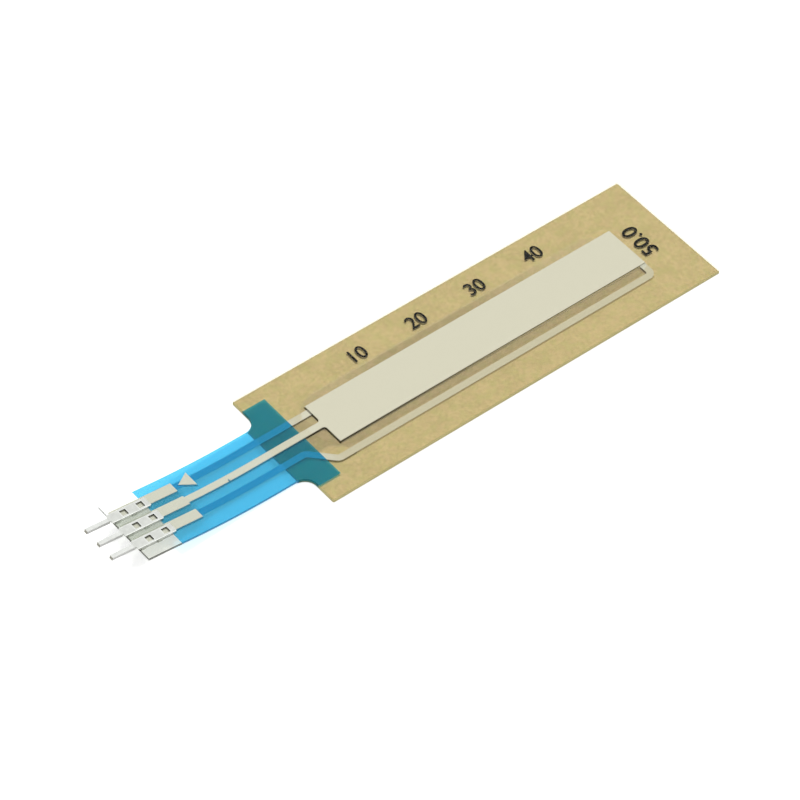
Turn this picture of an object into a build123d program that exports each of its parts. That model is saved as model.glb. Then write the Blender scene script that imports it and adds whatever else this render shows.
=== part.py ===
import os
from math import cos, radians, sin

from build123d import *

# Membrane potentiometer strip with a three-pin tail, sizes in millimetres.
# Origin at the middle of the body's underside, the tail towards -X, the sensing side up.

# Thickness of each layer, from the table upwards
liner_thickness = 0.08
rear_adhesive_thickness = 0.12
base_film_thickness = 0.125
spacer_thickness = 0.13
top_film_thickness = 0.125
silver_thickness = 0.02
resistor_thickness = 0.025
insulation_thickness = 0.045

# Die-cut outline shared by the films
near_margin = 6.88
far_margin = 7.08
body_width = 20.32
body_corner_radius = 0.25
tail_width = 10.16
tail_reach = 24.87
tail_root_radius = 1.75
liner_tongue = 1.45

# Upward set of the tail, with a straight stretch for the terminals
bend_radius = 100.0
rise_angle = 7.2
tip_straight = 8.45

# Printed pattern, which sits a little off the die-cut outline
print_y = 0.45
active_length = 50.0
electrode_width = 1.0
collector_width = 7.11
resistor_inset = 0.55
collector_neck_radius = 0.5
trace_width = 1.0
trace_bend_radius = 0.8
return_gap = 1.55
jog_distance = 1.98
pad_width = 1.5
pad_length = 9.6
pad_end_margin = 0.45
mark_side = 2.35
mark_gap = 0.7
nick_reach = 8.4
nick_width = 0.2
nick_depth = 0.32

# Blue insulation over the lower traces
collar_width = 15.24
collar_length = 3.58
bare_tip_length = 5.15

# Air channel in the spacer
channel_side_margin = 1.2
channel_end_margin = 2.1

# Crimped terminals
pin_pitch = 2.54
contact_y = 0.05
contact_thickness = 0.15
plate_width = 1.5
plate_overhang = 0.25
plate_corner_radius = 0.2
plate_end_margin = 0.73
window_size = 0.9
window_pitch = 2.54
first_window = 2.03
tine_width = 0.6
tine_point_width = 0.2
tine_curl_radius = 0.22
tine_curl_angle = 150
tine_clearance = 0.02
pin_length = 3.6
pin_width = 0.6
pin_height = 0.44
pin_seam = 0.06
pin_tip_chamfer = 0.06

os.makedirs("parts", exist_ok=True)

# Heights of the layers where the strip lies flat
base_film_z = liner_thickness + rear_adhesive_thickness
lower_print_z = base_film_z + base_film_thickness
top_film_z = lower_print_z + spacer_thickness
upper_print_z = top_film_z - silver_thickness
top_z = top_film_z + top_film_thickness
tail_thickness = top_z - base_film_z

# Places along the strip
collector_length = active_length + 2 * electrode_width
resistor_width = collector_width - 2 * resistor_inset
body_length = near_margin + collector_length + far_margin
body_end = body_length / 2
print_x = (near_margin - far_margin) / 2
tail_end = body_end + tail_reach
liner_end = body_end + liner_tongue
near_electrode_x = print_x - (active_length + electrode_width) / 2
far_electrode_x = print_x + (active_length + electrode_width) / 2
collector_start = print_x - collector_length / 2
pad_start = tail_end - pad_end_margin
pad_end = pad_start - pad_length
return_y = print_y - collector_width / 2 - return_gap - trace_width / 2

# Plane on top of the tail at its cut end, tilted with the film
top_bend_radius = bend_radius - tail_thickness
bend_end = tail_end - tip_straight * cos(radians(rise_angle))
bend_start = bend_end - top_bend_radius * sin(radians(rise_angle))
bend_end_z = base_film_z + bend_radius - top_bend_radius * cos(radians(rise_angle))
tip_z = bend_end_z + tip_straight * sin(radians(rise_angle))
along_tail = Vector(cos(radians(rise_angle)), 0, -sin(radians(rise_angle)))
off_tail = Vector(sin(radians(rise_angle)), 0, cos(radians(rise_angle)))
tip_point = Vector(-tail_end, contact_y, tip_z)
tip_plane = Plane(origin=tip_point, x_dir=along_tail, z_dir=off_tail)
cross_plane = Plane(origin=tip_point, x_dir=(0, 1, 0), z_dir=along_tail)
leg_offset = (plate_width - contact_thickness) / 2
window_places = [first_window, first_window + window_pitch]
tine_places = [place - window_pitch / 2 for place in window_places]
plate_length = plate_overhang + window_places[-1] + window_size / 2 + plate_end_margin


def film_plan():
    # Outline of the films seen from above, with the tail's rounded roots
    with BuildSketch(Plane.XY) as plan:
        Rectangle(body_length, body_width)
        fillet(plan.vertices(), body_corner_radius)
        with Locations((-body_end, 0)):
            Rectangle(tail_reach, tail_width, align=(Align.MAX, Align.CENTER))
        roots = plan.vertices().sort_by_distance((-body_end, 0))[:2]
        fillet(roots, tail_root_radius)
    return plan.sketch


def body_plan():
    # Outline of the layers that reach only a short way under the tail
    with BuildSketch(Plane.XY) as plan:
        add(film_plan())
        with Locations((body_end, 0)):
            Rectangle(
                body_end + liner_end,
                body_width,
                align=(Align.MAX, Align.CENTER),
                mode=Mode.INTERSECT,
            )
    return plan.sketch


def side_band(low, high):
    # Side view of a layer between two heights: flat, bent up, then straight
    with BuildSketch(Plane.XZ) as band:
        with BuildLine():
            ends = []
            for height in (low, high):
                flat = Line((body_end, height), (-bend_start, height))
                bend = JernArc(
                    start=flat @ 1,
                    tangent=(-1, 0),
                    radius=bend_radius - (height - base_film_z),
                    arc_size=-rise_angle,
                )
                rise = Line(bend @ 1, bend @ 1 + (bend % 1) * tail_reach)
                ends.append((flat @ 0, rise @ 1))
            Line(ends[0][0], ends[1][0])
            Line(ends[0][1], ends[1][1])
        make_face()
    return band.sketch


def bent_layer(plan, low, high):
    # One sheet or print of the stack, following the tail's rise
    extrude(plan, amount=bend_radius)
    extrude(side_band(low, high), amount=body_width, both=True, mode=Mode.INTERSECT)


def cut_tine_slots():
    # Slits where the terminals' tines pierce the tail
    reach = tail_thickness + contact_thickness
    with BuildSketch(tip_plane) as slots:
        for row in (-1, 0, 1):
            for place in tine_places:
                for side in (-1, 1):
                    with Locations((place, row * pin_pitch + side * leg_offset)):
                        Rectangle(
                            tine_width + 2 * tine_clearance,
                            contact_thickness + 2 * tine_clearance,
                        )
    extrude(slots.sketch, amount=reach, both=True, mode=Mode.SUBTRACT)


# Peel-off paper liner under the body
with BuildPart() as release_liner:
    extrude(body_plan(), amount=liner_thickness)
release_liner.part.label = "release_liner"

# Mounting adhesive, cut with the liner
with BuildPart() as rear_adhesive:
    with BuildSketch(Plane.XY.offset(liner_thickness)):
        add(body_plan())
    extrude(amount=rear_adhesive_thickness)
rear_adhesive.part.label = "rear_adhesive"

# Lower film, which carries the resistor
with BuildPart() as base_film:
    bent_layer(film_plan(), base_film_z, lower_print_z)
    cut_tine_slots()
base_film.part.label = "base_film"

# Lower trace of pin 1, with the electrode at the resistor's near end
with BuildPart() as pin_1_trace:
    with BuildSketch(Plane.XY) as pin_1_plan:
        with BuildLine():
            Line((-pad_start, print_y + pin_pitch), (near_electrode_x, print_y + pin_pitch))
        trace(line_width=trace_width)
        with Locations((near_electrode_x, print_y)):
            Rectangle(electrode_width, max(resistor_width, 2 * pin_pitch + trace_width))
    bent_layer(pin_1_plan.sketch, lower_print_z, lower_print_z + silver_thickness)
    cut_tine_slots()
pin_1_trace.part.label = "pin_1_trace"

# Lower trace of pin 3, which runs beside the collector to the resistor's far end
with BuildPart() as pin_3_trace:
    with BuildSketch(Plane.XY) as pin_3_plan:
        pin_3_y = print_y - pin_pitch
        jog_start = -body_end + jog_distance
        jog_end = jog_start + (pin_3_y - return_y)
        with BuildLine():
            FilletPolyline(
                (-pad_start, pin_3_y),
                (jog_start, pin_3_y),
                (jog_end, return_y),
                (far_electrode_x, return_y),
                (far_electrode_x, print_y + resistor_width / 2),
                radius=trace_bend_radius,
            )
        trace(line_width=trace_width)
    bent_layer(pin_3_plan.sketch, lower_print_z, lower_print_z + silver_thickness)
    cut_tine_slots()
pin_3_trace.part.label = "pin_3_trace"

# Carbon resistor between the two electrodes
with BuildPart() as resistor_track:
    with BuildSketch(Plane.XY.offset(lower_print_z)):
        with Locations((print_x, print_y)):
            Rectangle(active_length, resistor_width)
    extrude(amount=resistor_thickness)
resistor_track.part.label = "resistor_track"

# Blue insulation over the lower traces on the tail and its root
with BuildPart() as tail_insulation:
    with BuildSketch(Plane.XY) as insulation_plan:
        add(film_plan())
        with Locations((-body_end, 0)):
            Rectangle(
                tail_reach - bare_tip_length,
                body_width,
                align=(Align.MAX, Align.CENTER),
                mode=Mode.INTERSECT,
            )
        with Locations((-body_end, print_y)):
            Rectangle(collar_length, collar_width, align=(Align.MIN, Align.CENTER))
    bent_layer(insulation_plan.sketch, lower_print_z, lower_print_z + insulation_thickness)
    add(pin_1_trace.part, mode=Mode.SUBTRACT)
    add(pin_3_trace.part, mode=Mode.SUBTRACT)
tail_insulation.part.label = "tail_insulation"

# Silver collector under the top film, with the middle trace and its pad
with BuildPart() as collector:
    with BuildSketch(Plane.XY) as collector_plan:
        with Locations((print_x, print_y)):
            Rectangle(collector_length, collector_width)
        with Locations((collector_start, print_y)):
            Rectangle(pad_start + collector_start, trace_width, align=(Align.MAX, Align.CENTER))
        necks = collector_plan.vertices().sort_by_distance((collector_start, print_y))[:2]
        fillet(necks, collector_neck_radius)
        with Locations((-pad_end, print_y)):
            Rectangle(pad_length, pad_width, align=(Align.MAX, Align.CENTER))
        with Locations((-body_end - nick_reach, print_y - trace_width / 2)):
            Rectangle(nick_width, 2 * nick_depth, mode=Mode.SUBTRACT)
    bent_layer(collector_plan.sketch, upper_print_z, top_film_z)
    cut_tine_slots()
collector.part.label = "collector"

# Silver pad over the pin 1 trace
with BuildPart() as pin_1_pad:
    with BuildSketch(Plane.XY) as pin_1_pad_plan:
        with Locations((-pad_end, print_y + pin_pitch)):
            Rectangle(pad_length, pad_width, align=(Align.MAX, Align.CENTER))
    bent_layer(pin_1_pad_plan.sketch, upper_print_z, top_film_z)
    cut_tine_slots()
pin_1_pad.part.label = "pin_1_pad"

# Silver pad over the pin 3 trace
with BuildPart() as pin_3_pad:
    with BuildSketch(Plane.XY) as pin_3_pad_plan:
        with Locations((-pad_end, print_y - pin_pitch)):
            Rectangle(pad_length, pad_width, align=(Align.MAX, Align.CENTER))
    bent_layer(pin_3_pad_plan.sketch, upper_print_z, top_film_z)
    cut_tine_slots()
pin_3_pad.part.label = "pin_3_pad"

# Printed triangle that points at pin 1
with BuildPart() as pin_1_mark:
    with BuildSketch(Plane.XY) as mark_plan:
        with Locations((-pad_end + mark_gap, print_y + pin_pitch)):
            Triangle(a=mark_side, b=mark_side, c=mark_side, rotation=90, align=(Align.MIN, Align.CENTER))
    bent_layer(mark_plan.sketch, upper_print_z, top_film_z)
pin_1_mark.part.label = "pin_1_mark"

# Adhesive spacer with the air channel over the resistor
with BuildPart() as spacer:
    with BuildSketch(Plane.XY) as spacer_plan:
        add(film_plan())
        with Locations((print_x, print_y)):
            SlotOverall(
                collector_length + 2 * channel_end_margin,
                collector_width + 2 * channel_side_margin,
                mode=Mode.SUBTRACT,
            )
    bent_layer(spacer_plan.sketch, lower_print_z, top_film_z)
    for print_layer in (
        pin_1_trace,
        pin_3_trace,
        resistor_track,
        tail_insulation,
        collector,
        pin_1_pad,
        pin_3_pad,
        pin_1_mark,
    ):
        add(print_layer.part, mode=Mode.SUBTRACT)
    cut_tine_slots()
spacer.part.label = "spacer"

# Upper film, which is pressed to touch the resistor
with BuildPart() as top_film:
    bent_layer(film_plan(), top_film_z, top_z)
    cut_tine_slots()
top_film.part.label = "top_film"

# Four pointed tines, which go down through the tail and curl in under it
with BuildPart() as tines:
    for place in tine_places:
        with BuildSketch(cross_plane.offset(place - tine_width / 2)):
            for side in (-1, 1):
                leg_x = side * leg_offset
                with BuildLine():
                    leg = Line((leg_x, contact_thickness / 2), (leg_x, -tail_thickness - tine_clearance))
                    JernArc(
                        start=leg @ 1,
                        tangent=leg % 1,
                        radius=tine_curl_radius,
                        arc_size=-side * tine_curl_angle,
                    )
                trace(line_width=contact_thickness)
        extrude(amount=tine_width)
    with BuildSketch(tip_plane.offset(contact_thickness)) as tine_plan:
        for place in tine_places:
            for side in (-1, 1):
                edge_y = side * plate_width / 2
                taper_y = side * (plate_width / 2 - 2 * contact_thickness)
                with BuildLine():
                    Polyline(
                        (place - tine_width / 2, edge_y),
                        (place - tine_width / 2, taper_y),
                        (place - tine_point_width / 2, 0),
                        (place + tine_point_width / 2, 0),
                        (place + tine_width / 2, taper_y),
                        (place + tine_width / 2, edge_y),
                        close=True,
                    )
                make_face()
    extrude(amount=-tail_end, mode=Mode.INTERSECT)

# Terminal: windowed plate with the tines and a folded hollow pin
with BuildPart() as terminal:
    with BuildSketch(tip_plane) as plate_plan:
        with Locations((-plate_overhang, 0)):
            Rectangle(plate_length, plate_width, align=(Align.MIN, Align.CENTER))
        fillet(plate_plan.vertices(), plate_corner_radius)
        for place in window_places:
            with Locations((place, 0)):
                Rectangle(window_size, window_size, mode=Mode.SUBTRACT)
    extrude(amount=contact_thickness)
    add(tines.part)
    with BuildSketch(cross_plane.offset(-plate_overhang)):
        with Locations((0, contact_thickness - pin_height / 2)):
            Rectangle(pin_width, pin_height)
            Rectangle(
                pin_width - 2 * contact_thickness,
                pin_height - 2 * contact_thickness,
                mode=Mode.SUBTRACT,
            )
        with Locations((0, contact_thickness - pin_height)):
            Rectangle(pin_seam, 2 * contact_thickness, mode=Mode.SUBTRACT)
    extrude(amount=-pin_length)
    pin_end = terminal.faces().sort_by(Axis(tip_point, along_tail))[0]
    chamfer(pin_end.edges().sort_by(SortBy.LENGTH)[-3:], pin_tip_chamfer)
terminal.part.label = "terminal"

# The three terminals, pin 1 beside the triangle
with BuildPart() as contact_1:
    with Locations((0, pin_pitch, 0)):
        add(terminal.part)
contact_1.part.label = "contact_1"

with BuildPart() as contact_2:
    add(terminal.part)
contact_2.part.label = "contact_2"

with BuildPart() as contact_3:
    with Locations((0, -pin_pitch, 0)):
        add(terminal.part)
contact_3.part.label = "contact_3"

export_step(release_liner.part, "parts/release_liner.step")
export_step(rear_adhesive.part, "parts/rear_adhesive.step")
export_step(base_film.part, "parts/base_film.step")
export_step(pin_1_trace.part, "parts/pin_1_trace.step")
export_step(pin_3_trace.part, "parts/pin_3_trace.step")
export_step(resistor_track.part, "parts/resistor_track.step")
export_step(tail_insulation.part, "parts/tail_insulation.step")
export_step(spacer.part, "parts/spacer.step")
export_step(collector.part, "parts/collector.step")
export_step(pin_1_pad.part, "parts/pin_1_pad.step")
export_step(pin_3_pad.part, "parts/pin_3_pad.step")
export_step(pin_1_mark.part, "parts/pin_1_mark.step")
export_step(top_film.part, "parts/top_film.step")
export_step(contact_1.part, "parts/contact_1.step")
export_step(contact_2.part, "parts/contact_2.step")
export_step(contact_3.part, "parts/contact_3.step")
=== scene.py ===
import math

import bmesh
import bpy
from mathutils import Matrix, Vector


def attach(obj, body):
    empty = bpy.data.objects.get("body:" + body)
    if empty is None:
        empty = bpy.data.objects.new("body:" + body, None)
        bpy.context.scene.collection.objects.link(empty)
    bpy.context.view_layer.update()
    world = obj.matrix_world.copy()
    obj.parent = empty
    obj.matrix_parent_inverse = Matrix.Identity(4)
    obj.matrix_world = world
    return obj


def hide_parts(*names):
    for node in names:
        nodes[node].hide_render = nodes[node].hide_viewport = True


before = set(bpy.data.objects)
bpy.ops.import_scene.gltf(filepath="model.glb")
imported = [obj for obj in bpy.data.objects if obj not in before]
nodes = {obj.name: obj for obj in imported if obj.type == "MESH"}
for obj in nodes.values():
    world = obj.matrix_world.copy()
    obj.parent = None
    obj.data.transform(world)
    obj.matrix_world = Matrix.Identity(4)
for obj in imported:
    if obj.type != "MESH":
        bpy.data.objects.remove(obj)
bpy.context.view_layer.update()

scene = bpy.context.scene
mm = 0.001
arcStep = math.radians(9)
sharpAngle = math.radians(30)
weld = 1e-5


class Value:
    # one node output, so that sums on it add Math nodes
    def __init__(self, finish, socket):
        self.finish = finish
        self.socket = socket

    def __add__(self, other):
        return self.finish.calculate("ADD", self, other)

    def __radd__(self, other):
        return self.finish.calculate("ADD", other, self)

    def __sub__(self, other):
        return self.finish.calculate("SUBTRACT", self, other)

    def __rsub__(self, other):
        return self.finish.calculate("SUBTRACT", other, self)

    def __mul__(self, other):
        return self.finish.calculate("MULTIPLY", self, other)

    def __rmul__(self, other):
        return self.finish.calculate("MULTIPLY", other, self)

    def __pow__(self, other):
        return self.finish.calculate("POWER", self, other)

    def __gt__(self, other):
        return self.finish.calculate("GREATER_THAN", self, other)

    def __lt__(self, other):
        return self.finish.calculate("LESS_THAN", self, other)


class Finish:
    # a material or the world, and the one method that adds its nodes
    def __init__(self, name, world=None):
        self.owner = world or bpy.data.materials.new(name)
        self.owner.use_nodes = True
        self.tree = self.owner.node_tree
        self.tree.nodes.clear()

    def add(self, kind, settings, inputs, output=0):
        node = self.tree.nodes.new(kind)
        for key, value in settings.items():
            setattr(node, key, value)
        for key, value in inputs.items():
            if isinstance(value, Value):
                self.tree.links.new(value.socket, node.inputs[key])
            else:
                node.inputs[key].default_value = value
        return Value(self, node.outputs[output])

    def calculate(self, kind, *values):
        return self.add("ShaderNodeMath", {"operation": kind}, dict(enumerate(values)))

    def absolute(self, amount):
        return self.calculate("ABSOLUTE", amount)

    def larger(self, first, second):
        return self.calculate("MAXIMUM", first, second)

    def place(self):
        # where a point is on the strip, in millimetres
        point = self.add("ShaderNodeTexCoord", {}, {}, "Object")
        settings = {"operation": "SCALE"}
        return self.add("ShaderNodeVectorMath", settings, {0: point, "Scale": 1 / mm})

    def axis(self, vector, name):
        return self.add("ShaderNodeSeparateXYZ", {}, {0: vector}, name)

    def geometry(self, output):
        return self.add("ShaderNodeNewGeometry", {}, {}, output)

    def noise(self, point, scale, detail):
        inputs = {"Vector": point, "Scale": scale, "Detail": detail, "Roughness": 0.55}
        return self.add("ShaderNodeTexNoise", {}, inputs)

    def ramp(self, amount, low, high):
        # 0 below low, 1 above high
        inputs = {0: amount, 1: low, 2: high, 3: 0, 4: 1}
        return self.add("ShaderNodeMapRange", {"clamp": True}, inputs)

    def within(self, amount, low, high, soft=0.03):
        # 1 between low and high, 0 outside
        inside = self.ramp(amount, low - soft, low + soft)
        return inside * (1 - self.ramp(amount, high - soft, high + soft))

    def blend(self, amount, first, second):
        inputs = {0: amount, 6: first, 7: second}
        return self.add("ShaderNodeMix", {"data_type": "RGBA"}, inputs, 2)

    def bump(self, height, depth):
        inputs = {"Height": height, "Distance": depth, "Strength": 1}
        return self.add("ShaderNodeBump", {}, inputs)

    def upright(self):
        # 1 on the sides of a thin layer, 0 on its upper and lower face
        return self.absolute(self.axis(self.geometry("Normal"), "Z")) < 0.5

    def seenDirectly(self):
        # 1 for the rays that look at the surroundings, 0 for those that light the strip
        kinds = ("Is Camera Ray", "Is Glossy Ray", "Is Transmission Ray")
        camera, glossy, clear = [self.add("ShaderNodeLightPath", {}, {}, kind) for kind in kinds]
        return self.ramp(camera + glossy + clear, 0, 1)

    def surface(self, inputs):
        return self.add("ShaderNodeBsdfPrincipled", {}, inputs)

    def glass(self, colour):
        return self.add("ShaderNodeBsdfTransparent", {}, {"Color": colour})

    def mix(self, share, first, second):
        return self.add("ShaderNodeMixShader", {}, {0: share, 1: first, 2: second})

    def finish(self, shader, kind="ShaderNodeOutputMaterial"):
        out = self.tree.nodes.new(kind)
        self.tree.links.new(shader.socket, out.inputs[0])
        return self.owner


def rgb(red, green, blue):
    # a screen colour as light
    levels = [level / 255 for level in (red, green, blue)]
    return (*[((level + 0.055) / 1.055) ** 2.4 for level in levels], 1)


def dress(names, material):
    for name in names:
        slots = nodes[name].data.materials
        slots.clear()
        slots.append(material)


# sizes in millimetres, with x along the strip and the tail on its negative side
strip = {
    "body end": 32.98,
    "half width": 10.16,
    "corner": 0.25,
    "tail end": 57.85,
    "tail half width": 5.08,
    "tail root": 1.75,
    "tongue end": 34.43,  # how far the liner and its adhesive reach under the tail
    "bend start": 36.981,
    "bend radius": 100.0,
    "rise": math.radians(7.2),
    "underside": 0.2,
    "bend step": 0.8,
    "bend cuts": 27,
}
prints = {
    "middle": 0.45,
    "pitch": 2.54,
    "trace": 1.0,
    "near electrode": -25.6,
    "far electrode": 25.4,
    "electrode": 1.0,
    "electrode half length": 3.04,
    "return": -5.155,
    "far end": 3.455,
    "jog start": -31.0,
    "trace bend": 0.8,
    "trace end": 57.4,
    "collector centre": -0.1,
    "collector half length": 26.0,
    "collector half width": 3.555,
    "neck": 0.5,
    "pad": 1.5,
    "pad end": 47.8,
    "nick": 41.38,
    "nick width": 0.2,
    "nick depth": 0.32,
    "mark start": 47.1,
    "mark": 2.35,
}
insulation = {
    "end": 52.7,
    "collar end": 29.4,
    "collar half width": 7.62,
    "root margin": 0.01,
}
channel = {
    "centre": -0.1,
    "middle": 0.45,
    "half length": 28.1,
    "half width": 4.755,
    "straight end": 0.001,
    "margin": 0.2,
    "soft": 0.3,
}
plates = {
    "middle": 0.05,
    "half width": 0.75,
    "inner end": -52.14,
    "pin start": -58.3,
    "pin end": -61.4,
    "windows": (-55.836, -53.316),
    "window half": 0.5,
}
# the lowest and highest point of each thin layer on the flat body
heights = {
    "mountingAdhesive": (0.082, 0.198),
    "baseFilm": (0.2, 0.324),
    "lowerPrint": (0.3255, 0.345),
    "insulation": (0.347, 0.37),
    "spacer": (0.372, 0.4535),
    "upperPrint": (0.374, 0.4525),
    "topFilm": (0.4555, 0.579),
}
collectorLeft = prints["collector centre"] - prints["collector half length"]
collectorRight = prints["collector centre"] + prints["collector half length"]
markLength = prints["mark"] * math.sqrt(3) / 2

# what each finish looks like; a noise scale is in grains per millimetre
kraft = {
    "pale": rgb(234, 216, 165),
    "deep": rgb(212, 195, 146),
    "green": rgb(216, 208, 148),
    "pink": rgb(234, 208, 166),
    "fibre": rgb(196, 179, 127),
    "roughness": 0.8,
    "blotch scale": 0.22,
    "mottle scale": 2.0,
    "patch scale": 0.8,
    "fibre scale": 7.0,
    "blotch share": 0.4,
    "mottle range": (0.4, 0.6),
    "green share": 0.5,
    "green range": (0.5, 0.62),
    "pink share": 0.4,
    "pink range": (0.5, 0.38),
    "fibre share": 0.35,
    "fibre range": (0.55, 0.75),
    "fibre depth": 0.00001,
}
film = {
    "tint": (0.991, 0.993, 0.986, 1),
    "sheen": (0.9, 0.9, 0.88, 1),
    "haze": 0.004,
    "gloss": 0.3,
    "straight on": 0.04,
    "mirror": 0.7,
    "specular": 0.1,
    "roughness": 0.08,
    "edge roughness": 0.5,
    "ripple scale": 0.5,
    "ripple depth": 0.00001,
}
# colours of the films' side faces; the larger cover on the near sides is painted shade and the
# smaller one on the far sides painted light
filmEdge = {
    "body cover": 0.7,
    "far body cover": 0.25,
    "tail cover": 0.95,
    "body": rgb(214, 210, 150),
    "collar": (0.03, 0.16, 0.18, 1),
    "blue": (0.03, 0.3, 0.6, 1),
    "tip": (0.03, 0.028, 0.014, 1),
    "pale": (0.5, 0.52, 0.5, 1),
    "pale above": (2.4, 3.0),
}
# painted shadow that greys the floor seen through the tail, and the haze of its clear tip
tailShade = {
    "tint": (0.83, 0.845, 0.805, 1),
    "blue tint": (0.78, 0.815, 0.81, 1),
    "blue soft": 0.1,
    "haze": 0.3,
    "haze colour": rgb(204, 212, 198),
    "haze near": -3.3,
    "haze far": 3.4,
    "haze soft": 0.2,
    "middle": 0.6,
    "tip": (-48.5, -47.0),
    "root": 0.8,
    "root start": -35.8,
    "far": (2.9, 3.9),
    "near": (-3.4, -2.6),
    "near share": 0.42,
}
# painted shadow lines below the near and left sides of the upper prints and plates, and painted
# light that turns them pale further along and lightens a strip beside the lower trace
paintedShadowAndLight = {
    "width": 0.24,
    "soft": 0.02,
    "nick half width": 0.12,
    "plate line": (-0.05, 0.12),
    "mark line": 1.3,
    "body share": 0.72,
    "tail share": 0.6,
    "colour": (0.035, 0.03, 0.008, 1),
    "pale": rgb(216, 198, 146),
    "lit": (-26.5, 12),
    "lit share": 0.5,
    "pale strip": 0.26,
    "pale share": 0.42,
}
# darkening of the air channel: partly the real loss at its extra faces, partly painted shade
# beside the collector's near side
airGap = {
    "loss": 0.105,
    "colour": (0.22, 0.205, 0.2, 1),
    "soft": 5.0,
    "half length": 27.3,
    "half width": 5.25,
    "middle": 0.3,
    "centre": -1.5,
    "far fade": (2, 18),
    "far loss": 0.55,
    "near fade": (-13, -20),
    "near loss": 0.3,
    "vent": (2.9, 3.5),
    "vent end": (-27.5, -26.0),
    "beside": (3.0, 4.9),
    "beside soft": 0.3,
}
adhesive = {"tint": (0.982, 0.966, 0.931, 1)}
blue = {
    "tint": (0.352, 0.785, 0.948, 1),
    "body": (0.015, 0.62, 1.0, 1),
    "share": 0.12,
    "roughness": 0.4,
}
betweenPads = {
    "start": (-48.1, -47.1),
    "side": (2.1, 2.7),
    "share": 0.22,
    "body": (0.05, 0.45, 0.64, 1),
}
silver = {
    "grain scale": 12.0,
    "grain depth": 0.000002,
    "fleck range": (0.3, 0.7),
    "metal": 0.1,
    "roughness": 0.6,
    "shade fade": (-15, 25),
    "shade loss": 0.8,
    "tail fade": (-30.5, -27.0),
    "edge fade": (-25, 10),
}
# colours of the prints' side walls: dark and faint are painted shadow lines along the lower
# prints, pale is a painted highlight on the upper prints
inkEdge = {
    "dark": (0.03, 0.028, 0.016, 1),
    "faint": (0.3, 0.27, 0.14, 1),
    "pale": (0.8, 0.8, 0.7, 1),
}
buriedTone = {"low": rgb(212, 217, 214), "high": rgb(218, 223, 220)}
collectorTone = {"low": rgb(210, 206, 184), "high": rgb(216, 212, 190)}
padTone = {"low": rgb(208, 208, 193), "high": rgb(214, 214, 199)}
traceTone = {"low": rgb(202, 200, 180), "high": rgb(208, 206, 186)}
carbon = {
    "low": (0.012, 0.012, 0.013, 1),
    "high": (0.03, 0.03, 0.032, 1),
    "grain scale": 10.0,
    "roughness": 0.6,
}
tin = {
    "low": rgb(191, 193, 188),
    "high": rgb(197, 199, 194),
    "pin": rgb(204, 206, 202),
    # painted highlights: rim and near rim on the plate tops, near side on the faces towards the
    # viewer
    "rim": rgb(206, 208, 204),
    "near rim": rgb(226, 229, 223),
    # painted shade: side is the window walls facing the viewer, hollow the pin ends
    "side": rgb(44, 40, 24),
    "near side": rgb(240, 240, 236),
    # painted light: under is the pale tone of the parts below the film, against the shade they
    # stand in
    "under": rgb(246, 250, 238),
    "hollow": rgb(160, 158, 145),
    "metal": 0.85,
    "roughness": 0.2,
    "streak scale": 1.6,
    "streak roughness": 0.08,
    "rim start": 0.63,
    "near rim start": 0.65,
    "window rim": 0.58,
    "facing": -0.6,
    "below film": -0.02,
}


def kraftPaper():
    f = Finish("kraftPaper")
    place = f.place()
    blotch = f.noise(place, kraft["blotch scale"], 3)
    mottle = f.noise(place, kraft["mottle scale"], 5)
    patch = f.noise(place, kraft["patch scale"], 3)
    fibre = f.noise(place, kraft["fibre scale"], 3)
    mottle = blotch * kraft["blotch share"] + mottle * (1 - kraft["blotch share"])
    colour = f.blend(f.ramp(mottle, *kraft["mottle range"]), kraft["deep"], kraft["pale"])
    for name, noise in (("green", patch), ("pink", patch), ("fibre", fibre)):
        share = f.ramp(noise, *kraft[f"{name} range"]) * kraft[f"{name} share"]
        colour = f.blend(share, colour, kraft[name])
    shader = f.surface(
        {
            "Base Color": colour,
            "Roughness": kraft["roughness"],
            "Normal": f.bump(fibre, kraft["fibre depth"]),
        }
    )
    return f.finish(shader)


def rowOffset(f, y):
    # how far a point is from the nearest terminal's middle, below zero on the near side
    half = prints["pitch"] / 2
    return f.calculate("WRAP", y - plates["middle"], half, -half)


def underPrints(f, place):
    # 1 on the painted shadow line below the near side of the upper prints and plates
    x, y = f.axis(place, "X"), f.axis(place, "Y")
    wide, soft = paintedShadowAndLight["width"], paintedShadowAndLight["soft"]
    middle, pitch = prints["middle"], prints["pitch"]
    low = middle - prints["collector half width"]
    high = middle + prints["collector half width"]
    trace = middle - prints["trace"] / 2
    below = f.ramp(y, low - 2 * wide, low - wide / 2) * (1 - f.ramp(y, low - soft, low + soft))
    gap = below * f.within(x, collectorLeft - wide, collectorRight)
    gap = gap + f.within(x, collectorLeft - wide, collectorLeft) * f.within(y, low - wide, high)
    onTrace = f.within(x, -prints["pad end"], collectorLeft)
    gap = gap + f.within(y, trace - wide, trace) * onTrace
    nick, nickHalf = -prints["nick"], paintedShadowAndLight["nick half width"]
    inNick = f.within(y, trace, trace + prints["nick depth"])
    gap = gap + f.within(x, nick - nickHalf, nick + nickHalf) * inNick
    besidePad = f.within(x, plates["inner end"], -prints["pad end"])
    besidePlate = f.within(x, -strip["tail end"], plates["inner end"])
    under, over = paintedShadowAndLight["plate line"]
    for row in (-1, 0, 1):
        pad = middle + row * pitch - prints["pad"] / 2
        plate = plates["middle"] + row * pitch - plates["half width"]
        gap = gap + f.within(y, pad - wide, pad) * besidePad
        gap = gap + f.within(y, plate + under, plate + over) * besidePlate
    start = -prints["mark start"]
    slope = y - middle - pitch + (x - start) * math.tan(math.radians(30))
    line = f.within(slope, -paintedShadowAndLight["mark line"] * wide, 0)
    return f.larger(gap, line * f.within(x, start, start + markLength))


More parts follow.
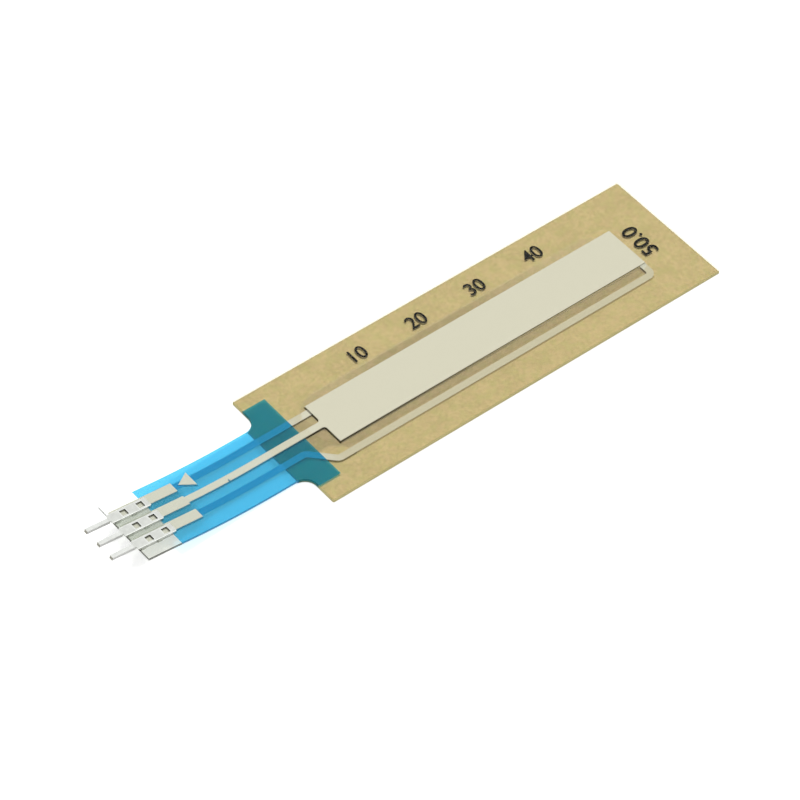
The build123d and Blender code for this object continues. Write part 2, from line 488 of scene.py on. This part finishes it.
def besideTrace(f, place):
    # 1 on a strip of painted light along the near side of the lower trace beside the collector
    low = prints["return"] - prints["trace"] / 2
    run = f.within(f.axis(place, "X"), prints["near electrode"], prints["far electrode"])
    return run * f.within(f.axis(place, "Y"), low - paintedShadowAndLight["pale strip"], low)


def roundEnded(f, place, shape):
    # 1 inside a round-ended window
    along = f.absolute(f.axis(place, "X") - shape["centre"])
    past = f.larger(along - (shape["half length"] - shape["half width"]), 0.0)
    across = f.axis(place, "Y") - shape["middle"]
    return f.ramp(shape["half width"] ** 2 - past * past - across * across, 0, shape["soft"])


def inChannel(f, place, vented=True):
    # 1 inside the air channel and its vent, where the air gap darkens what lies below, and on a
    # strip beside the collector's near side as painted shade; less at the far side's two ends
    x, y = f.axis(place, "X"), f.axis(place, "Y")
    fade = f.ramp(x, *airGap["far fade"]) * airGap["far loss"]
    fade = fade + f.ramp(x, *airGap["near fade"]) * airGap["near loss"]
    shade = roundEnded(f, place, airGap) * (1 - fade * (y > 0))
    if not vented:
        return shade
    across = f.absolute(y - airGap["middle"])
    vent = (x > -strip["tongue end"]) * (1 - f.ramp(x, *airGap["vent end"]))
    vent = vent * (1 - f.ramp(across, *airGap["vent"]))
    beside = f.within(x, -prints["collector half length"], prints["far electrode"])
    beside = beside * f.within(across, *airGap["beside"], airGap["beside soft"])
    return f.larger(shade, f.larger(vent, beside * (y < 0)))


def inSlot(f, place):
    # 1 within the box round the air channel
    along = f.absolute(f.axis(place, "X") - channel["centre"])
    across = f.absolute(f.axis(place, "Y") - channel["middle"])
    inside = along < channel["half length"] + channel["margin"]
    return inside * (across < channel["half width"] + channel["margin"])


def edgeColour(f, place):
    # olive on the body, teal at the collar, blue along the tail, nearly black round its clear
    # tip, partly painted shade, and pale at the tip's far corner where no shade falls
    x, y = f.axis(place, "X"), f.axis(place, "Y")
    tip = f.blend(f.ramp(y, *filmEdge["pale above"]), filmEdge["tip"], filmEdge["pale"])
    tail = f.blend(x > -insulation["end"], tip, filmEdge["blue"])
    aside = f.absolute(y - prints["middle"])
    collar = (x < -insulation["collar end"]) * (aside < insulation["collar half width"])
    body = f.blend(collar, filmEdge["body"], filmEdge["collar"])
    return f.blend(x > -strip["tongue end"], tail, body)


def shaded(f, place):
    # how strongly the tail greys what lies under it, from its root to its tip, as painted shadow
    # on the floor seen through it, strongest at the root under the liner's end
    x, y = f.axis(place, "X"), f.axis(place, "Y")
    along = 1 - f.ramp(x, *tailShade["tip"]) * (1 - tailShade["middle"])
    root = f.ramp(x, tailShade["root start"], -strip["tongue end"])
    along = along + root * tailShade["root"]
    near = f.ramp(y, *tailShade["near"])
    across = near * (1 - tailShade["near share"]) + tailShade["near share"]
    across = across * (1 - f.ramp(y, *tailShade["far"]))
    return along * across * (x < -strip["tongue end"])


def milkyTip(f, place, edge):
    # 1 on the hazy top film between the plates at the tail's clear tip, partly the film's own
    # haze and partly painted shade
    x, y = f.axis(place, "X"), f.axis(place, "Y")
    hazy = (x < -insulation["end"]) * (1 - edge)
    across = f.within(y, tailShade["haze near"], tailShade["haze far"], tailShade["haze soft"])
    return hazy * across * (f.absolute(rowOffset(f, y)) > plates["half width"])


def clearFilm(name, gloss=0.0, inner=False, amber=False):
    # gloss mirrors the sky, inner shows the channel, the painted shadow lines below the prints
    # and plates, painted light beside the lower trace and the tail's painted shadow, amber is the
    # spacer
    f = Finish(name)
    place = f.place()
    x = f.axis(place, "X")
    onBody = x > -strip["tongue end"]
    facing = f.add("ShaderNodeLayerWeight", {}, {"Blend": 0.5}, "Facing")
    front = 1 - f.geometry("Backfacing")
    normal = f.geometry("Normal")
    edge = f.upright()
    if amber:
        edge = edge * (1 - inSlot(f, place))
    outward = 2 * front - 1
    # painted shade: the near and left sides, turned from the lamp, take more of the edge colour
    # than the far sides, lit from behind
    nearSide = f.larger(f.axis(normal, "Y") * outward, f.axis(normal, "X") * outward) < 0.5
    bodyCover, tailCover = filmEdge["body cover"], filmEdge["tail cover"]
    nearCover = onBody * (bodyCover - tailCover) + tailCover
    edgeCover = nearSide * nearCover + (1 - nearSide) * onBody * filmEdge["far body cover"]
    mirror = film["straight on"] + (1 - film["straight on"]) * facing ** 5
    cover = mirror * front * gloss + film["haze"] + edge * edgeCover
    colour = f.blend(edge, film["sheen"], edgeColour(f, place))
    through = f.glass(film["tint"])
    if gloss:
        # haze between the plates: partly the film's own haze, partly painted shade
        milky = milkyTip(f, place, edge)
        cover = cover + milky * tailShade["haze"]
        colour = f.blend(milky, colour, tailShade["haze colour"])
        edge = f.larger(edge, milky)
    if amber or inner:
        where = onBody if amber else roundEnded(f, place, channel)
        through = f.mix(where, through, f.glass(adhesive["tint"]))
    if inner:
        # darker in the air channel, partly real loss and partly painted shade beside the
        # collector
        gap = inChannel(f, place)
        cover = cover + gap * airGap["loss"]
        colour = f.blend(gap, colour, airGap["colour"])
        upper = front * (f.axis(normal, "Z") > 0.5)
        # painted shadow lines below the prints and plates, on the film's upper face
        dark = underPrints(f, place) * upper
        bodyShare, tailShare = paintedShadowAndLight["body share"], paintedShadowAndLight["tail share"]
        cover = f.larger(cover, dark * (onBody * (bodyShare - tailShare) + tailShare))
        # painted light: the shadow lines turn pale further along the strip
        lit = f.ramp(x, *paintedShadowAndLight["lit"]) * paintedShadowAndLight["lit share"]
        colour = f.blend(dark, colour, f.blend(lit, paintedShadowAndLight["colour"], paintedShadowAndLight["pale"]))
        # painted light: a pale strip along the near side of the lower trace
        pale = besideTrace(f, place) * upper
        cover = f.larger(cover, pale * paintedShadowAndLight["pale share"])
        colour = f.blend(pale, colour, paintedShadowAndLight["pale"])
        edge = f.larger(edge, f.larger(pale, dark * lit))
        # painted shadow under the tail: a grey glass under the clear tip, a bluish one under the
        # blue
        blueEnd, soft = -insulation["end"], tailShade["blue soft"]
        underBlue = f.ramp(x, blueEnd - soft, blueEnd + soft)
        grey = f.glass(f.blend(underBlue, tailShade["tint"], tailShade["blue tint"]))
        through = f.mix(shaded(f, place), through, grey)
    surface = f.surface(
        {
            "Base Color": colour,
            "Metallic": (1 - edge) * film["mirror"],
            "Roughness": edge * film["edge roughness"] + film["roughness"],
            "Specular IOR Level": film["specular"],
            "Normal": f.bump(f.noise(place, film["ripple scale"], 2), film["ripple depth"]),
        }
    )
    return f.finish(f.mix(cover, through, surface))


def blueInk():
    # clear blue, duller between the pads
    f = Finish("blueInsulation")
    place = f.place()
    aside = f.absolute(f.axis(place, "Y") - prints["middle"])
    dull = 1 - f.ramp(f.axis(place, "X"), *betweenPads["start"])
    dull = dull * (1 - f.ramp(aside, *betweenPads["side"]))
    colour = f.blend(dull, blue["body"], betweenPads["body"])
    body = f.surface(
        {"Base Color": colour, "Roughness": blue["roughness"], "Specular IOR Level": 0.0}
    )
    share = blue["share"] + dull * betweenPads["share"]
    return f.finish(f.mix(share, f.glass(blue["tint"]), body))


def silverInk(name, tone, dryTone=None, tailTone=None, edgeTone=None):
    # dry in the open channel, and of another tone under the tail's films; lower traces carry the
    # collector's painted shadow and painted dark side walls, upper prints pale side walls as a
    # painted highlight
    f = Finish(name)
    place = f.place()
    x = f.axis(place, "X")
    grain = f.noise(place, silver["grain scale"], 3)
    fleck = f.ramp(grain, *silver["fleck range"])
    colour = f.blend(fleck, tone["low"], tone["high"])
    if dryTone:
        colour = f.blend(inChannel(f, place, vented=False), colour, dryTone["high"])
        # painted shadow of the collector on the lower traces, fainter further along
        fade = 1 - f.ramp(x, *silver["shade fade"]) * silver["shade loss"]
        shade = underPrints(f, place) * fade * paintedShadowAndLight["body share"]
        colour = f.blend(shade, colour, paintedShadowAndLight["colour"])
    if tailTone:
        onTail = 1 - f.ramp(x, *silver["tail fade"])
        colour = f.blend(onTail, colour, f.blend(fleck, tailTone["low"], tailTone["high"]))
    # side walls: a painted shadow line that fades along the strip, unless edgeTone gives them a
    # pale painted highlight
    side = edgeTone or f.blend(f.ramp(x, *silver["edge fade"]), inkEdge["dark"], inkEdge["faint"])
    shader = f.surface(
        {
            "Base Color": f.blend(f.upright(), colour, side),
            "Roughness": silver["roughness"],
            "Metallic": silver["metal"],
            "Normal": f.bump(grain, silver["grain depth"]),
        }
    )
    return f.finish(shader)


def carbonInk():
    f = Finish("carbonInk")
    grain = f.noise(f.place(), carbon["grain scale"], 4)
    colour = f.blend(grain, carbon["low"], carbon["high"])
    return f.finish(f.surface({"Base Color": colour, "Roughness": carbon["roughness"]}))


def tinPlate():
    # bright plates and pins, with painted highlights on their rims and near sides, painted shade
    # on the window walls and hollow pin ends, and painted light on the parts below the film
    f = Finish("tinPlate")
    place = f.place()
    x, y, z = f.axis(place, "X"), f.axis(place, "Y"), f.axis(place, "Z")
    streak = f.noise(place, tin["streak scale"], 3)
    tip = -strip["tail end"]
    filmTop = lift(tip, heights["topFilm"][1])
    aboveFilm = z - filmTop + (x - tip) * math.tan(strip["rise"]) > tin["below film"]
    aboveFilm = f.larger(aboveFilm, x < plates["pin start"])
    offset = rowOffset(f, y)
    row = f.absolute(offset)
    away = [f.absolute(x - window) for window in plates["windows"]]
    window = f.calculate("MINIMUM", *away)
    normal = f.geometry("Normal")
    facingY = f.axis(normal, "Y") < tin["facing"]
    facingX = f.axis(normal, "X") < tin["facing"]
    # painted shade on the window walls that face the viewer
    inWindow = f.larger(facingY * (row < tin["rim start"]), facingX)
    inWindow = inWindow * (window < plates["window half"]) * aboveFilm
    # painted highlight round the plates' outer edges and windows, whiter along the near edge
    rim = f.larger(row > tin["rim start"], f.larger(row, window) < tin["window rim"])
    rim = rim * (1 - inWindow)
    nearHighlight = offset < -tin["near rim start"]
    # painted shade on the hollow pin ends
    hollow = facingX * (x < plates["pin end"])
    plate = f.blend(rim, f.blend(streak, tin["low"], tin["high"]), tin["rim"])
    plate = f.blend(nearHighlight, plate, tin["near rim"])
    colour = f.blend(f.larger(facingY, x < plates["pin start"]), plate, tin["pin"])
    # painted highlight: the near side faces are pale, and left unmetallic below
    colour = f.blend(facingY, colour, tin["near side"])
    colour = f.blend(hollow, f.blend(inWindow, colour, tin["side"]), tin["hollow"])
    # painted light: below the film the plates' tines are pale and unmetallic
    shader = f.surface(
        {
            "Base Color": f.blend(aboveFilm, tin["under"], colour),
            "Metallic": aboveFilm * (1 - facingY) * (1 - inWindow) * tin["metal"],
            "Roughness": streak * tin["streak roughness"] + tin["roughness"],
        }
    )
    return f.finish(shader)


def lift(x, height):
    # height of a layer where the tail bends up and runs straight
    along = -x - strip["bend start"]
    radius = strip["bend radius"] - (height - strip["underside"])
    centre = strip["underside"] + strip["bend radius"]
    last = radius * math.sin(strip["rise"])
    if along <= 0:
        return height
    if along <= last:
        return centre - math.sqrt(radius ** 2 - along ** 2)
    return centre - radius * math.cos(strip["rise"]) + (along - last) * math.tan(strip["rise"])


def rounded(corners):
    # closed outline whose corners (x, y, radius) are rounded
    points = []
    for i, (x, y, radius) in enumerate(corners):
        if radius == 0:
            points.append((x, y))
            continue
        here = Vector((x, y))
        before = (Vector(corners[i - 1][:2]) - here).normalized()
        after = (Vector(corners[(i + 1) % len(corners)][:2]) - here).normalized()
        half = before.angle(after) / 2
        centre = here + (before + after).normalized() * radius / math.sin(half)
        start = here + before * radius / math.tan(half) - centre
        turn = start.angle_signed(here + after * radius / math.tan(half) - centre)
        steps = max(2, round(abs(turn) / arcStep))
        for k in range(steps + 1):
            spoke = start.copy()
            spoke.rotate(Matrix.Rotation(-turn * k / steps, 2))
            points.append(tuple(centre + spoke))
    return points


def sheetPiece(name, outline, layer, finish, node, hole=None):
    # a thin layer cut to an outline, finely divided along the tail and bent with it
    low, high = heights[layer]
    mesh = bmesh.new()
    loops = []
    for loop in filter(None, (outline, hole)):
        ring = [mesh.verts.new((x, y, 0)) for x, y in loop]
        loops += [mesh.edges.new((ring[i - 1], ring[i])) for i in range(len(ring))]
    bmesh.ops.triangle_fill(
        mesh, use_beauty=True, use_dissolve=True, edges=loops, normal=(0, 0, 1)
    )
    for step in range(strip["bend cuts"]):
        bmesh.ops.bisect_plane(
            mesh,
            geom=mesh.verts[:] + mesh.edges[:] + mesh.faces[:],
            dist=weld,
            plane_co=(-strip["bend start"] - step * strip["bend step"], 0, 0),
            plane_no=(1, 0, 0),
        )
    under = mesh.verts[:]
    raised = bmesh.ops.extrude_face_region(mesh, geom=mesh.faces[:])["geom"]
    for v in raised:
        if isinstance(v, bmesh.types.BMVert):
            v.co.z = lift(v.co.x, high)
    for v in under:
        v.co.z = lift(v.co.x, low)
    bmesh.ops.triangulate(mesh, faces=mesh.faces[:])
    bmesh.ops.scale(mesh, vec=(mm, mm, mm), verts=mesh.verts[:])
    bmesh.ops.recalc_face_normals(mesh, faces=mesh.faces[:])
    data = bpy.data.meshes.new(name)
    mesh.to_mesh(data)
    mesh.free()
    data.set_sharp_from_angle(angle=sharpAngle)
    data.materials.append(finish)
    piece = bpy.data.objects.new(name, data)
    scene.collection.objects.link(piece)
    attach(piece, "root")
    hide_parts(node)


def filmOutline(end):
    side, wide, narrow = strip["body end"], strip["half width"], strip["tail half width"]
    upper = [
        (side, wide, strip["corner"]),
        (-side, wide, strip["corner"]),
        (-side, narrow, strip["tail root"]),
        (-end, narrow, 0),
    ]
    lower = [(x, -y, radius) for x, y, radius in reversed(upper)]
    return rounded(upper + lower)


def insulationOutline():
    side, narrow = strip["body end"], strip["tail half width"]
    top = prints["middle"] + insulation["collar half width"]
    bottom = prints["middle"] - insulation["collar half width"]
    reach = narrow + insulation["root margin"]
    return rounded(
        [
            (-insulation["collar end"], top, 0),
            (-side, top, 0),
            (-side, narrow, min(strip["tail root"], top - reach)),
            (-insulation["end"], narrow, 0),
            (-insulation["end"], -narrow, 0),
            (-side, -narrow, min(strip["tail root"], -bottom - reach)),
            (-side, bottom, 0),
            (-insulation["collar end"], bottom, 0),
        ]
    )


def channelOutline():
    left = channel["centre"] - channel["half length"]
    right = channel["centre"] + channel["half length"]
    low = channel["middle"] - channel["half width"]
    high = channel["middle"] + channel["half width"]
    bend = channel["half width"] - channel["straight end"]
    corners = [(right, low), (right, high), (left, high), (left, low)]
    return rounded([(x, y, bend) for x, y in corners])


def stroke(corners, width, radius):
    # outline of a trace of one width along a bent line
    outline = []
    for way in (1, -1):
        side = []
        for i, here in enumerate(corners):
            here = Vector(here)
            legs = []
            if i > 0:
                legs.append((here - Vector(corners[i - 1])).normalized())
            if i < len(corners) - 1:
                legs.append((Vector(corners[i + 1]) - here).normalized())
            normals = [Vector((-leg.y, leg.x)) for leg in legs]
            middle = sum(normals, Vector((0, 0))).normalized()
            reach = width / 2 * way / middle.dot(normals[0])
            bend = 0
            if len(legs) == 2:
                inner = legs[0].cross(legs[1]) * way > 0
                bend = radius - width / 2 if inner else radius + width / 2
            side.append((*(here + middle * reach), bend))
        outline += side if way == 1 else side[::-1]
    return rounded(outline)


def pinOneOutline():
    # along the tail, then across the resistor's near end as its electrode
    row, half = prints["middle"] + prints["pitch"], prints["trace"] / 2
    left = prints["near electrode"] - prints["electrode"] / 2
    right = prints["near electrode"] + prints["electrode"] / 2
    bottom = prints["middle"] - prints["electrode half length"]
    start, low, high = -prints["trace end"], row - half, row + half
    across = [(left, low), (left, bottom), (right, bottom), (right, high)]
    return [(start, low), *across, (start, high)]


def pinThreeOutline():
    # along the tail, past the collector after a slanted jog, and round to the far electrode
    row = prints["middle"] - prints["pitch"]
    jog = row - prints["return"]
    line = [
        (-prints["trace end"], row),
        (prints["jog start"], row),
        (prints["jog start"] + jog, prints["return"]),
        (prints["far electrode"], prints["return"]),
        (prints["far electrode"], prints["far end"]),
    ]
    return stroke(line, prints["trace"], prints["trace bend"])


def collectorOutline():
    # a wide collector, its trace along the tail with one small nick, and the middle pad
    middle, trace, pad = prints["middle"], prints["trace"] / 2, prints["pad"] / 2
    wide = prints["collector half width"]
    nick, gap = -prints["nick"], prints["nick width"] / 2
    inner = prints["nick depth"] - trace
    lower = [
        (-prints["trace end"], -pad, 0),
        (-prints["pad end"], -pad, 0),
        (-prints["pad end"], -trace, 0),
        (nick - gap, -trace, 0),
        (nick - gap, inner, 0),
        (nick + gap, inner, 0),
        (nick + gap, -trace, 0),
        (collectorLeft, -trace, prints["neck"]),
        (collectorLeft, -wide, 0),
        (collectorRight, -wide, 0),
    ]
    unnicked = lower[:3] + lower[7:]
    upper = [(x, -y, radius) for x, y, radius in reversed(unnicked)]
    return rounded([(x, y + middle, radius) for x, y, radius in lower + upper])


def padOutline(row):
    left, right, half = -prints["trace end"], -prints["pad end"], prints["pad"] / 2
    middle = prints["middle"] + row * prints["pitch"]
    low, high = middle - half, middle + half
    return [(left, low), (right, low), (right, high), (left, high)]


def markOutline():
    start, half = -prints["mark start"], prints["mark"] / 2
    row = prints["middle"] + prints["pitch"]
    return [(start, row), (start + markLength, row - half), (start + markLength, row + half)]


print("finishes")
dress(["release_liner"], kraftPaper())
dress(["resistor_track"], carbonInk())
dress(["contact_1", "contact_2", "contact_3"], tinPlate())
# pale side walls of the upper prints, a painted highlight
pale = inkEdge["pale"]
collectorSilver = silverInk("collectorSilver", collectorTone, tailTone=padTone, edgeTone=pale)
padSilver = silverInk("padSilver", padTone, edgeTone=pale)
traceSilver = silverInk("traceSilver", traceTone, collectorTone, buriedTone)
rear = clearFilm("rearAdhesive")
base = clearFilm("baseFilm", inner=True)
spacer = clearFilm("spacerAdhesive", amber=True)
top = clearFilm("topFilm", film["gloss"])
blueClear = blueInk()

print("layers")
short = filmOutline(strip["tongue end"])
whole = filmOutline(strip["tail end"])
collar = insulationOutline()
wide = collectorOutline()
one, three = pinOneOutline(), pinThreeOutline()
sheetPiece("mountingAdhesive", short, "mountingAdhesive", rear, "rear_adhesive")
sheetPiece("baseFilm", whole, "baseFilm", base, "base_film")
sheetPiece("spacerSheet", whole, "spacer", spacer, "spacer", channelOutline())
sheetPiece("blueInsulation", collar, "insulation", blueClear, "tail_insulation")
sheetPiece("pinOneTrace", one, "lowerPrint", traceSilver, "pin_1_trace")
sheetPiece("pinThreeTrace", three, "lowerPrint", traceSilver, "pin_3_trace")
sheetPiece("collectorSheet", wide, "upperPrint", collectorSilver, "collector")
sheetPiece("pinPad1", padOutline(1), "upperPrint", padSilver, "pin_1_pad")
sheetPiece("pinPad3", padOutline(-1), "upperPrint", padSilver, "pin_3_pad")
sheetPiece("pinOneMark", markOutline(), "upperPrint", padSilver, "pin_1_mark")
sheetPiece("topFilm", whole, "topFilm", top, "top_film")

# plain numbers under the top film, ten millimetres apart along the track
scale = {
    "first": 10,
    "last": 40,
    "step": 10,
    "zero": -25.1,
    "across": 6.9,
    "height": 2.1,
    "bold": 0.006,
    "level": 0.3255,
    "ink": 0.006,
    "digit share": 0.7,  # how much of the font's size a digit fills
}
endScale = {"words": "50.0", "place": (28.2, 0.3), "height": 2.3, "bold": 0.01, "turn": 90}
black = {
    "low": (0.006, 0.006, 0.005, 1),
    "high": (0.02, 0.02, 0.015, 1),
    "wear scale": 5.0,
    "wear range": (0.35, 0.75),
    "roughness": 0.7,
}


def blackInk():
    f = Finish("blackInk")
    worn = f.ramp(f.noise(f.place(), black["wear scale"], 4), *black["wear range"])
    colour = f.blend(worn, black["low"], black["high"])
    shader = f.surface(
        {"Base Color": colour, "Roughness": black["roughness"], "Specular IOR Level": 0.0}
    )
    return f.finish(shader)


def printNumber(name, words, place, height, bold, finish, turn=0):
    letters = bpy.data.curves.new(name, "FONT")
    letters.body = words
    letters.align_x = "CENTER"
    letters.align_y = "CENTER"
    letters.size = height / scale["digit share"] * mm
    letters.offset = bold * height * mm
    letters.extrude = scale["ink"] / 2 * mm
    text = bpy.data.objects.new(name, letters)
    text.location = (place[0] * mm, place[1] * mm, (scale["level"] + scale["ink"] / 2) * mm)
    text.rotation_euler.z = math.radians(turn)
    scene.collection.objects.link(text)
    bpy.context.view_layer.update()
    depsgraph = bpy.context.evaluated_depsgraph_get()
    mesh = bpy.data.meshes.new_from_object(text.evaluated_get(depsgraph))
    mesh.transform(text.matrix_world)
    bpy.data.objects.remove(text)
    mesh.materials.clear()
    mesh.materials.append(finish)
    piece = bpy.data.objects.new(name, mesh)
    scene.collection.objects.link(piece)
    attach(piece, "root")


print("numbers")
ink = blackInk()
for number in range(scale["first"], scale["last"] + 1, scale["step"]):
    place = (number + scale["zero"], scale["across"])
    printNumber(f"number{number}", str(number), place, scale["height"], scale["bold"], ink)
printNumber(
    "endNumber",
    endScale["words"],
    endScale["place"],
    endScale["height"],
    endScale["bold"],
    ink,
    endScale["turn"],
)

print("stage")
floorPaper = {"half width": 6.0, "level": -0.00002, "albedo": 0.8, "glow": 0.68}
sky = 0.38
keyLight = {"direction": (0.3, 0.3, 0.905), "distance": 3.0, "size": 0.9, "level": 0.53}
view = {
    "place": (-0.238081, -0.229611, 0.358903),
    "right": (0.76458, -0.64094, 0.06797),
    "down": (-0.44725, -0.60353, -0.66009),
    "forward": (0.4641, 0.47429, -0.74811),
    "focal pixels": 3779,
    "picture pixels": 800,
    "sensor": 36,
    "clip": (0.01, 50),
}


def glowFloor():
    # white to the eye, and dimmer as a light on the strip
    f = Finish("floorPaper")
    grey = (*[floorPaper["albedo"]] * 3, 1)
    plain = f.add("ShaderNodeBsdfDiffuse", {}, {"Color": grey})
    strength = f.seenDirectly() * floorPaper["glow"]
    light = f.add("ShaderNodeEmission", {}, {"Color": (1, 1, 1, 1), "Strength": strength})
    return f.finish(f.add("ShaderNodeAddShader", {}, {0: plain, 1: light}))


reach = floorPaper["half width"]
corners = [(-reach, -reach, 0), (reach, -reach, 0), (reach, reach, 0), (-reach, reach, 0)]
floorMesh = bpy.data.meshes.new("floor")
floorMesh.from_pydata(corners, [], [(0, 1, 2, 3)])
floorMesh.materials.append(glowFloor())
floor = bpy.data.objects.new("floor", floorMesh)
floor.location.z = floorPaper["level"]
scene.collection.objects.link(floor)

scene.world = bpy.data.worlds.new("studio")
studio = Finish("studio", scene.world)
strength = studio.seenDirectly() * (1 - sky) + sky
inputs = {"Color": (1, 1, 1, 1), "Strength": strength}
studio.finish(studio.add("ShaderNodeBackground", {}, inputs), "ShaderNodeOutputWorld")

lamp = bpy.data.lights.new("keyLight", "AREA")
lamp.shape = "SQUARE"
lamp.size = keyLight["size"]
towards = Vector(keyLight["direction"]).normalized()
lamp.energy = keyLight["level"] * math.pi ** 2 * keyLight["distance"] ** 2 / towards.z
softbox = bpy.data.objects.new("keyLight", lamp)
softbox.location = towards * keyLight["distance"]
softbox.rotation_mode = "QUATERNION"
softbox.rotation_quaternion = towards.to_track_quat("Z", "Y")
scene.collection.objects.link(softbox)

lens = bpy.data.cameras.new("camera")
lens.sensor_width = view["sensor"]
lens.lens = view["sensor"] * view["focal pixels"] / view["picture pixels"]
lens.clip_start, lens.clip_end = view["clip"]
camera = bpy.data.objects.new("camera", lens)
axes = [Vector(view["right"]), -Vector(view["down"]), -Vector(view["forward"])]
turn = Matrix(axes).transposed().to_4x4()
camera.matrix_world = Matrix.Translation(view["place"]) @ turn
scene.collection.objects.link(camera)
scene.camera = camera

scene.view_settings.view_transform = "Standard"
scene.cycles.transparent_max_bounces = 32  # a ray crosses many clear faces

print("done")
